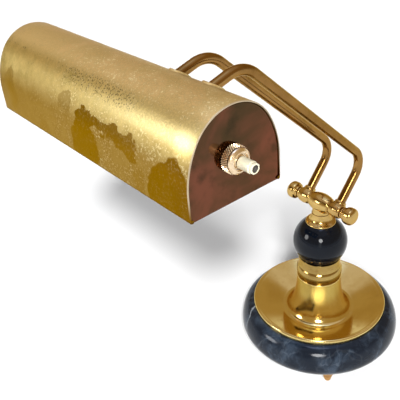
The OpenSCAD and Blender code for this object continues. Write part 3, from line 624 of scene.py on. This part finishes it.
# Arms: two brass tubes, each bent twice on a mandrel, from the barrel up and
# back over the shade. Their tips go through its crown and are bolted below.
arm_brass = brass("arm_brass", (0.31, 0.170, 0.052), (0.19, 0.095, 0.024), 0.15)
riser_len, run_len, tip_len, in_barrel = 51.1, 185.5, 48.5, 5.0
run, tip = math.radians(137.6), math.radians(196)
corner = np.array((pivot[1], pivot[2]))
spine = [corner + in_barrel * np.array((math.cos(riser), math.sin(riser)))]
for angle, length in ((riser, riser_len), (run, run_len), (tip, tip_len)):
    corner = corner + length * np.array((math.cos(angle), math.sin(angle)))
    spine.append(corner)
for side, hand in ((-1, "left"), (1, "right")):
    sizes = {"Tube radius": 3.95 * MM, "Lower bend": 18.0 * MM, "Upper bend": 26.0 * MM}
    plan, size = pattern(f"{hand}_bent_tube", **sizes)
    joined = plan.node("GeometryNodeJoinGeometry")
    ends = [Vector(((pivot[0] + side * arm_shift) * MM, y * MM, z * MM)) for y, z in spine]
    for start, end in zip(ends, ends[1:]):
        span = plan.node("GeometryNodeCurvePrimitiveLine", {"Start": start, "End": end})
        plan.put(joined.socket.node.inputs[0],
                 plan.node("GeometryNodeCurveToMesh", {"Curve": span}))
    merged = plan.node("GeometryNodeMergeByDistance", {"Geometry": joined, "Distance": 0.00001})
    path = plan.node("GeometryNodeMeshToCurve", {"Mesh": merged})
    position = plan.node("GeometryNodeInputPosition")
    height = plan.node("ShaderNodeSeparateXYZ", {0: position}, out="Z")
    upper = plan.math("GREATER_THAN", height, float(spine[1][1] + spine[2][1]) / 2 * MM)
    radius = size["Lower bend"] + upper * (size["Upper bend"] - size["Lower bend"])
    bent_path = plan.node("GeometryNodeFilletCurve", {"Curve": path, "Count": 26,
                                                      "Radius": radius}, mode="POLY")
    circle = plan.node("GeometryNodeCurvePrimitiveCircle", {"Resolution": 40,
                                                            "Radius": size["Tube radius"]})
    tube = plan.node("GeometryNodeCurveToMesh", {"Curve": bent_path, "Profile Curve": circle,
                                                 "Fill Caps": True})
    arm = grown(f"{hand}_bent_arm", plan, tube, arm_brass, sizes, sharp=60)
    fitted(arm, arm_brass, "arm", "polished_brass", f"{hand}_arm")


# Shade: sheet brass rolled to a tall arch, open below, with a small hem along
# both long edges. Its crown is dull and speckled, and browner patches with a
# ragged edge show along the lower side. The crown's pinker tan is a painted
# reflection, a bright band on the upper front is a painted highlight, and the
# lower side is painted darker as a painted dark reflection.
aged = Finish("aged_brass", {"Specular Tint": (0.90, 0.74, 0.45)})
shade_low, shade_high, shade_mid = box("shade")
place = aged.node("ShaderNodeSeparateXYZ", {0: aged.place}, out="X")
across, rise = place.beside("Y"), place.beside("Z")
broad = aged.noise(17, 3.0, Distortion=0.6)
middling = aged.noise(95, 6.0, Roughness=0.62)
fine = aged.noise(560, 4.0, Roughness=0.75)
grit = aged.cells(540.0)
wander = aged.node("ShaderNodeSeparateXYZ", {0: aged.noise(70, 4.0, out="Color")}, out="X")
drift, ragged = wander.beside("Z"), 0.022

front = 1 - across.over(metres(shade_mid[1] - 12), metres(shade_mid[1] + 4))
# Browner patches: a band low on the back, and ragged patches set along the front.
brown_patches = (1 - front) * (broad + 0.1 * middling).over(0.60, 0.63) * (1 - rise.over(0.300, 0.306))
for x, z, wide, high, strength in (
        (-1, 264, 17, 25, 1.0), (6, 290, 15, 6, 1.0), (30, 289, 24, 5, 0.95),
        (56, 285, 12, 7, 0.9), (101, 261, 23, 31, 1.0), (-120, 279, 10, 20, 0.5),
        (-27, 293, 11, 8, 0.4), (67, 264, 7, 12, 0.4), (-66, 262, 8, 9, 0.3)):
    dx = (place + (wander - 0.5) * ragged - x * MM) / (wide * MM)
    dz = (rise + (drift - 0.5) * ragged - z * MM) / (high * MM)
    patch = (1 - (dx * dx + dz * dz).over(0.92, 1.06)) * front * strength
    brown_patches = aged.math("MAXIMUM", brown_patches, patch)

# Painted reflection: the crown is painted a pinker tan; it is also made less metallic, so duller.
crown = rise.over(metres(shade_high[2] - 11), metres(shade_high[2] - 3))
upper = rise.over(metres(shade_low[2] + 26), metres(shade_low[2] + 49))
# Painted dark reflection: the lower side is painted darker.
painted_dark_lower = 1 - upper
# Painted highlight: a bright band along the upper front, towards the near end.
painted_highlight_band = rise.over(0.297, 0.304) * (1 - rise.over(0.308, 0.316)) * place.over(-0.03, 0.10) * front
grainy = place.over(-0.10, 0.0)
mottle = (fine.over(0.40, 0.66) * (0.22 + 0.30 * upper) * (0.45 + 0.55 * grainy)
          * (1 - brown_patches * 0.7))
# Painted glints: bright specks, more on the upper side and towards the near end.
painted_glints = (1 - brown_patches * 0.75) * (fine + middling * 0.35).over(0.70, 0.84) * (0.25 + 0.75 * grainy)
near = place.over(-0.050, -0.020) * (1 - place.over(0.040, 0.070))
ridge = rise.over(0.302, 0.308) * (1 - rise.over(0.313, 0.316)) * near * front
# A thin dark line along the upper front.
thin_dark_line = ((1 - aged.math("ABSOLUTE", rise - 0.3128).over(0.0003, 0.0009)) * front
           * (1 - place.over(0.03, 0.05)) * middling.over(0.42, 0.55))
ridge = aged.math("MAXIMUM", ridge, thin_dark_line)
stray = (broad * 0.6 + middling * 0.6).over(0.66, 0.74) * 0.4
dots = (1 - grit.over(0.22, 0.44)) * aged.math("MAXIMUM", ridge, stray)
# Painted shade: a dark line along the underside of each hem.
hem_painted_shade = 1 - rise.over(metres(shade_low[2] + 0.8), metres(shade_low[2] + 1.8))
# Painted highlight: a pale line on the rounded edge at each end, kept above the hems.
lip_painted_highlight = aged.math("MAXIMUM", place.over(metres(shade_high[0] - 0.80), metres(shade_high[0] - 0.55)),
                1 - place.over(metres(shade_low[0] + 0.55), metres(shade_low[0] + 0.80)))

tint = aged.mix(middling.over(0.38, 0.64), (0.655, 0.53, 0.225), (0.465, 0.375, 0.14))
for share, colour in ((crown, (0.64, 0.45, 0.20)),
                      (broad.over(0.50, 0.54) * 0.35, (0.52, 0.39, 0.15)),
                      (painted_highlight_band * 0.8, (0.90, 0.80, 0.42)),
                      (painted_dark_lower * (0.82 + 0.3 * middling), (0.250, 0.145, 0.028)),
                      (brown_patches * 0.96, (0.180, 0.084, 0.001)),
                      (mottle, (0.27, 0.185, 0.05)),
                      (painted_glints * (0.28 + 0.35 * upper), (0.98, 0.86, 0.50)),
                      (dots * (1 - brown_patches) * 0.68, (0.08, 0.065, 0.025)),
                      (hem_painted_shade * 0.75, (0.07, 0.035, 0.012)),
                      (lip_painted_highlight * rise.over(0.257, 0.275), (0.55, 0.45, 0.31))):
    tint = aged.mix(share, tint, colour)
aged.feed("Base Color", tint)
aged.feed("Metallic", 1 - 0.35 * crown)
aged.feed("Roughness", 0.30 + 0.16 * (1 - brown_patches) * fine + 0.10 * middling - 0.06 * brown_patches)
aged.relief(fine * 0.6 + middling * 2.0 - dots, 0.00004)

half_w, side_h, arch_h, crown_r, shade_t = 38.0, 18.0, 48.0, 34.0, 0.8
spring_z, crown_c = shade_high[2] - arch_h, arch_h - crown_r
haunch_r = (half_w ** 2 + crown_c ** 2 - crown_r ** 2) / (2 * (half_w - crown_r))
haunch_c = haunch_r - half_w
kink = math.asin(crown_c / (haunch_r - crown_r))


def arch(grow):
    """The shade's outline from the front's bottom over the crown to the back's."""
    left = [(-half_w - grow, -side_h + s) for s in np.linspace(0, side_h, 8)[:-1]]
    left += [(haunch_c - (haunch_r + grow) * math.cos(t), (haunch_r + grow) * math.sin(t))
             for t in np.linspace(0, kink, 20)[:-1]]
    left += [(-(crown_r + grow) * math.cos(t), crown_c + (crown_r + grow) * math.sin(t))
             for t in np.linspace(kink, math.pi / 2, 60)]
    return np.array(left + [(-y, z) for y, z in left[-2::-1]])


# Each end's edge is rounded: how far in from the end, and how far the outline shrinks.
hem, hem_top = 1.25, -side_h + 2.6
edge_round = [(0.0, -0.38), (0.10, -0.16), (0.38, 0.0)]
stations = ([(shade_low[0] + inset, grow) for inset, grow in edge_round]
            + [(x, 0.0) for x in np.linspace(shade_low[0] + 20, shade_high[0] - 20, 9)]
            + [(shade_high[0] - inset, grow) for inset, grow in reversed(edge_round)])
points, rows = [], []
for x, grow in stations:
    skin = [tuple(p) for p in arch(grow) if p[1] > hem_top]
    lining = [tuple(p) for p in arch(-shade_t) if p[1] > hem_top]
    right = ([(half_w + grow - hem + hem * math.cos(a), -side_h + hem - hem * math.sin(a))
              for a in np.radians(np.linspace(0, 180, 13))]
             + [(half_w - 2 * hem + 0.3, -side_h + 2.2), (half_w - shade_t - 0.1, -side_h + 2.5)])
    left = [(-y, z) for y, z in reversed(right)]
    loop = skin + right + lining[::-1] + left
    first = len(points)
    points += [(x, shade_mid[1] + y, spring_z + z) for y, z in loop]
    rows.append(list(range(first, first + len(loop))))
faces = []
for a, b in zip(rows, rows[1:]):
    for i in range(len(a)):
        j = (i + 1) % len(a)
        faces.append((a[i], a[j], b[j], b[i]))
half, turn = len(skin), len(right)
for row in (rows[0], rows[-1]):
    skin_row, right_row = row[:half], row[half:half + turn]
    lining_row, left_row = row[half + turn:2 * half + turn][::-1], row[2 * half + turn:]
    for i in range(half - 1):
        faces.append((skin_row[i], skin_row[i + 1], lining_row[i + 1], lining_row[i]))
    faces.append((skin_row[-1], *right_row, lining_row[-1]))
    faces.append((lining_row[0], *left_row, skin_row[0]))
shade = made("rolled_shade", points, faces, sharp=40)
fitted(shade, aged.material, "arm", "aged_brass", "shade")


# End caps: brass pans polished like a mirror, pushed in a little behind the
# shade's edges. Their dark, cloudy reddish brown with darker patches is a
# painted dark reflection in the polish.
mirror = Finish("mirror_brass", {"Metallic": 1.0, "Specular Tint": (0.85, 0.55, 0.42)})
# Painted reflection: cloudy dark reddish-brown colour and darker patches on the mirror polish.
painted_reflection_clouds = mirror.noise(24, 4.0, Roughness=0.55, Distortion=0.5).over(0.36, 0.66)
painted_dark_patches = mirror.noise(70, 5.0).over(0.52, 0.78)
painted_reflection_tone = mirror.mix(painted_reflection_clouds, (0.175, 0.064, 0.037), (0.070, 0.044, 0.021))
mirror.feed("Base Color", mirror.mix(painted_dark_patches * 0.6, painted_reflection_tone, (0.028, 0.026, 0.014)))
mirror.feed("Roughness", 0.045 + 0.05 * painted_reflection_clouds + 0.10 * painted_dark_patches)
mirror.relief(mirror.noise(26, 2.0), 0.00012)

edge_r, skirt, pan_t = 0.9, 7.0, 0.8
pan = ([(edge_r * (1 - math.sin(a)), edge_r * (1 - math.cos(a)))
        for a in np.radians(np.linspace(0, 90, 8))]
       + [(0.0, skirt), (pan_t, skirt), (pan_t, 1.7), (1.4, pan_t)])
for hand, way in (("right", 1), ("left", -1)):
    low, high, _ = box(f"{hand}_end_cap")
    out_x = high[0] if way > 0 else low[0]
    points, rows = [], []
    for inset, back in pan:
        first = len(points)
        line = arch(-shade_t - 0.05 - inset)
        points += [(out_x - way * back, shade_mid[1] + y, spring_z + z) for y, z in line]
        rows.append(list(range(first, first + len(line))))
    faces = []
    for a, b in zip(rows, rows[1:]):
        for i in range(len(a) - 1):
            faces.append((a[i], a[i + 1], b[i + 1], b[i]))
    faces += [tuple(rows[0]), tuple(rows[-1])]
    faces.append((*[row[0] for row in rows], *[row[-1] for row in reversed(rows)]))
    cap = made(f"{hand}_mirror_cap", points, faces, sharp=50)
    fitted(cap, mirror.material, "arm", "mirror_brass", f"{hand}_end_cap")
dress(aged.material, "arm_saddles")


# Lamp socket and bulb: under the crown a steel hanger holds a brass-cased screw
# socket by a threaded nipple, and a long clear tube bulb is screwed into it.
socket_brass = brass("socket_brass", (0.68, 0.48, 0.18), (0.50, 0.33, 0.10), 0.24)
dress(socket_brass, "socket_nipple", "socket_cap", "socket_shell", "socket_thread",
      "socket_contact")
card = Finish("liner_card", {"IOR": 1.4})
fibres = card.noise(700, 5.0)
card.feed("Base Color", card.mix(fibres, (0.055, 0.035, 0.022), (0.11, 0.075, 0.05)))
card.feed("Roughness", 0.7 + 0.2 * fibres)
card.relief(fibres, 0.00006)
dress(card.material, "socket_liner")
tin = Finish("bulb_base_metal", {"Metallic": 1.0})
scuffs = tin.noise(500, 4.0)
tin.feed("Base Color", tin.mix(scuffs.over(0.5, 0.8), (0.62, 0.62, 0.60), (0.42, 0.41, 0.38)))
tin.feed("Roughness", 0.24 + 0.2 * scuffs)
dress(tin.material, "bulb_base")
glass = Finish("clear_glass", {"Transmission Weight": 1.0, "IOR": 1.45,
                               "Base Color": (0.98, 0.98, 0.97)})
glass.feed("Roughness", 0.015 + 0.03 * glass.noise(120, 3.0).over(0.5, 0.8))
dress(glass.material, "bulb_glass", "bulb_mount")

bulb_low, bulb_high, bulb_mid = box("bulb_mount")
in_stem, under_axis = 26, 1.9


def helix(plan, size, radius, height, steps, wire_r, wire_sides):
    """A wire wound round Z, from the named sizes of a tree."""
    coil = plan.node("GeometryNodeCurveSpiral", {
        "Resolution": steps, "Rotations": size["Turns"], "Start Radius": radius,
        "End Radius": radius, "Height": height})
    wire = plan.node("GeometryNodeCurvePrimitiveCircle", {"Resolution": wire_sides,
                                                          "Radius": wire_r})
    return plan.node("GeometryNodeCurveToMesh", {"Curve": coil, "Profile Curve": wire,
                                                 "Fill Caps": True})


sizes = {"Coil radius": 0.55 * MM, "Wire radius": 0.09 * MM,
         "Length": metres(bulb_high[0] - bulb_low[0] - in_stem), "Turns": 70.0}
plan, size = pattern("filament_coil", **sizes)
coil = helix(plan, size, size["Coil radius"], size["Length"], 10, size["Wire radius"], 4)
tungsten = Finish("tungsten", {"Metallic": 1.0, "Base Color": (0.35, 0.34, 0.33)})
tungsten.feed("Roughness", 0.35 + 0.2 * tungsten.noise(900, 2.0))
filament = grown("bulb_filament", plan, coil, tungsten.material, sizes, sharp=80)
filament.data.transform(shift(bulb_low[0], bulb_mid[1], bulb_mid[2] - under_axis)
                        @ Matrix.Rotation(math.pi / 2, 4, "Y"))
fitted(filament, tungsten.material, "arm", "bulb_metal")


# Switch: a rotary switch behind the near cap, held by a knurled ring nut on its
# threaded bushing, with a small pale turn knob that has a hollow, eight-sided end.
nut_low, nut_high, nut_mid = box("switch_nut")
nut_r, nut_t = (nut_high[1] - nut_low[1]) / 2, nut_high[0] - nut_low[0]
nut = Finish("nut_brass", {"Metallic": 1.0, "Specular Tint": (0.92, 0.80, 0.62)})
off_axis = nut.vector("SUBTRACT", nut.place, tuple(nut_mid * MM))
off_axis = nut.vector("MULTIPLY", off_axis, (0, 1, 1))
off_axis = nut.node("ShaderNodeVectorMath", {0: off_axis}, out="Value", operation="LENGTH")
forward = nut.node("ShaderNodeSeparateXYZ", {0: nut.place}, out="X")
# Painted shade: the bore and the bushing deep inside the nut are painted dark.
deep = ((1 - off_axis.over(0.0081, 0.0088))
        * (1 - forward.over(metres(nut_high[0] - 3.4), metres(nut_high[0] - 3.1))))
rub = nut.noise(210, 5.0).over(0.42, 0.72)
clean = nut.mix(rub, (0.86, 0.69, 0.47), (0.74, 0.55, 0.34))
nut.feed("Base Color", nut.mix(deep * 0.85, clean, (0.10, 0.055, 0.028)))
nut.feed("Roughness", 0.26 + 0.12 * rub + 0.3 * deep)

nose, knurl_in = nut_t - 3.2, 0.35
nut_line = rounded([(5.1, 0, 0), (nut_r - 0.9, 0, 0.3), (nut_r - 0.9, 0.5, 0.3),
                    (nut_r - 0.9, nose, 0.2), (nut_r - 0.8, nose + 0.15, 0.2),
                    (nut_r - 0.15, nose + 0.5, 0.4), (nut_r - 0.6, nut_t - 1.6, 1.2),
                    (nut_r - 2.2, nut_t - 0.2, 1.2), (5.8, nut_t, 0.2), (5.7, nut_t - 1.2, 0.2),
                    (5.1, nut_t - 1.2, 0)])
nut_body = spun("ring_nut_body", nut_line, (nut_low[0], nut_mid[1], nut_mid[2]),
                along="X", turns=120)
sizes = {"Radius": (nut_r - 0.48) * MM, "Length": (nose - 2 * knurl_in) * MM,
         "Height": 0.90 * MM, "Round": 36, "Rows": 4}
plan, size = pattern("diamond_knurl", **sizes)
number = plan.node("GeometryNodeInputIndex")
row = plan.math("FLOOR", number / size["Round"])
turn = (number + row * 0.5) / size["Round"] * (2 * math.pi)
spot = plan.node("ShaderNodeCombineXYZ", {"X": (row + 0.5) * size["Length"] / size["Rows"],
                                          "Y": plan.math("COSINE", turn) * size["Radius"],
                                          "Z": plan.math("SINE", turn) * size["Radius"]})
outward = plan.node("ShaderNodeCombineXYZ", {"Y": plan.math("COSINE", turn),
                                             "Z": plan.math("SINE", turn)})
crossings = plan.node("GeometryNodePoints", {"Count": size["Round"] * size["Rows"],
                                             "Position": spot})
tooth = plan.node("GeometryNodeMeshCone", {
    "Vertices": 4, "Radius Top": size["Height"] * 0.22, "Radius Bottom": size["Height"] * 0.78,
    "Depth": size["Height"]})
studs = plan.node("GeometryNodeInstanceOnPoints", {
    "Points": crossings, "Instance": tooth,
    "Rotation": plan.node("FunctionNodeAlignRotationToVector", {"Vector": outward}, axis="Z")})
knurl = grown("ring_nut_knurl", plan, studs, nut.material, sizes, sharp=20)
knurl.data.transform(shift(nut_low[0] + knurl_in, nut_mid[1], nut_mid[2]))
fitted(nut_body, nut.material, "arm", "switch_brass", "switch_nut")
fitted(knurl, nut.material, "arm", "switch_brass")

way_low, way_high, way_mid = box("switch_bushing")
way_len, thread_in, pitch, shaft_way = way_high[0] - way_low[0], 0.6, 0.8, 2.1
sizes = {"Thread radius": 4.7 * MM, "Pitch": pitch * MM,
         "Turns": float(way_len - 2 * thread_in) / pitch}
plan, size = pattern("bushing_thread", **sizes)
crest = helix(plan, size, size["Thread radius"], size["Turns"] * size["Pitch"], 40,
              size["Pitch"] * 0.4, 4)
thread = grown("bushing_thread", plan, crest, nut.material, sizes, sharp=40)
thread.data.transform(shift(way_low[0] + thread_in, way_mid[1], way_mid[2])
                      @ Matrix.Rotation(math.pi / 2, 4, "Y"))
fitted(thread, nut.material, "arm", "switch_brass")
core = spun("bushing_core", rounded([(shaft_way, 0, 0), (4.5, 0, 0), (4.5, way_len - 0.5, 0.2),
                                     (4.0, way_len, 0.1), (shaft_way, way_len, 0)]),
            (way_low[0], way_mid[1], way_mid[2]), along="X", turns=72)
fitted(core, nut.material, "arm", "switch_brass", "switch_bushing")

knob_low, knob_high, knob_mid = box("switch_knob")
pale = Finish("pale_lacquer", {"Metallic": 0.35, "IOR": 1.45})
rubbed = pale.noise(260, 4.0).over(0.5, 0.8)
hollow = ((knob_high[0] - 1.2) * MM, knob_mid[1] * MM, knob_mid[2] * MM)
# Painted shade: the inside of the hollow end is painted dark.
hollow_painted_shade = 1 - pale.vector("DISTANCE", pale.place, hollow, out="Value").over(0.00255, 0.00275)
cream = pale.mix(rubbed, (0.93, 0.88, 0.66), (0.80, 0.72, 0.48))
pale.feed("Base Color", pale.mix(hollow_painted_shade, cream, (0.13, 0.12, 0.105)))
pale.feed("Roughness", 0.30 + 0.15 * rubbed)

knob_r, knob_l = (knob_high[1] - knob_low[1]) / 2, knob_high[0] - knob_low[0]
flat_from, flat_r, eighth = knob_l - 2.4, 2.8, math.pi / 4
hollow_at, way_end = knob_l - 2.0, knob_l - 3.6
outline = rounded([(shaft_way, 0, 0), (knob_r - 0.3, 0, 0.2), (knob_r, 0.4, 0.3),
                   (knob_r, flat_from - 0.3, 0.25), (knob_r - 0.35, flat_from, 0.15),
                   (knob_r - 0.3, flat_from + 0.3, 0.2), (knob_r - 0.3, knob_l - 0.3, 0.3),
                   (knob_r - 0.6, knob_l, 0.25), (2.5, knob_l, 0.25), (2.3, knob_l - 0.3, 0.2),
                   (2.2, hollow_at, 0.3), (0, hollow_at, 0), (0, way_end, 0),
                   (shaft_way, way_end, 0)])
knob = spun("turn_knob", outline, turns=96, along="X")
for vertex in knob.data.vertices:
    x, y, z = vertex.co / MM
    if x > flat_from + 0.2 and math.hypot(y, z) > flat_r:
        turned = (math.atan2(z, y) + eighth / 2) % eighth - eighth / 2
        pull = min(1.0, math.cos(eighth / 2) / math.cos(turned))
        vertex.co = Vector((x, y * pull, z * pull)) * MM
knob.data.transform(shift(knob_low[0], knob_mid[1], knob_mid[2]))
fitted(knob, pale.material, "switch_knob", "pale_brass", "switch_knob")
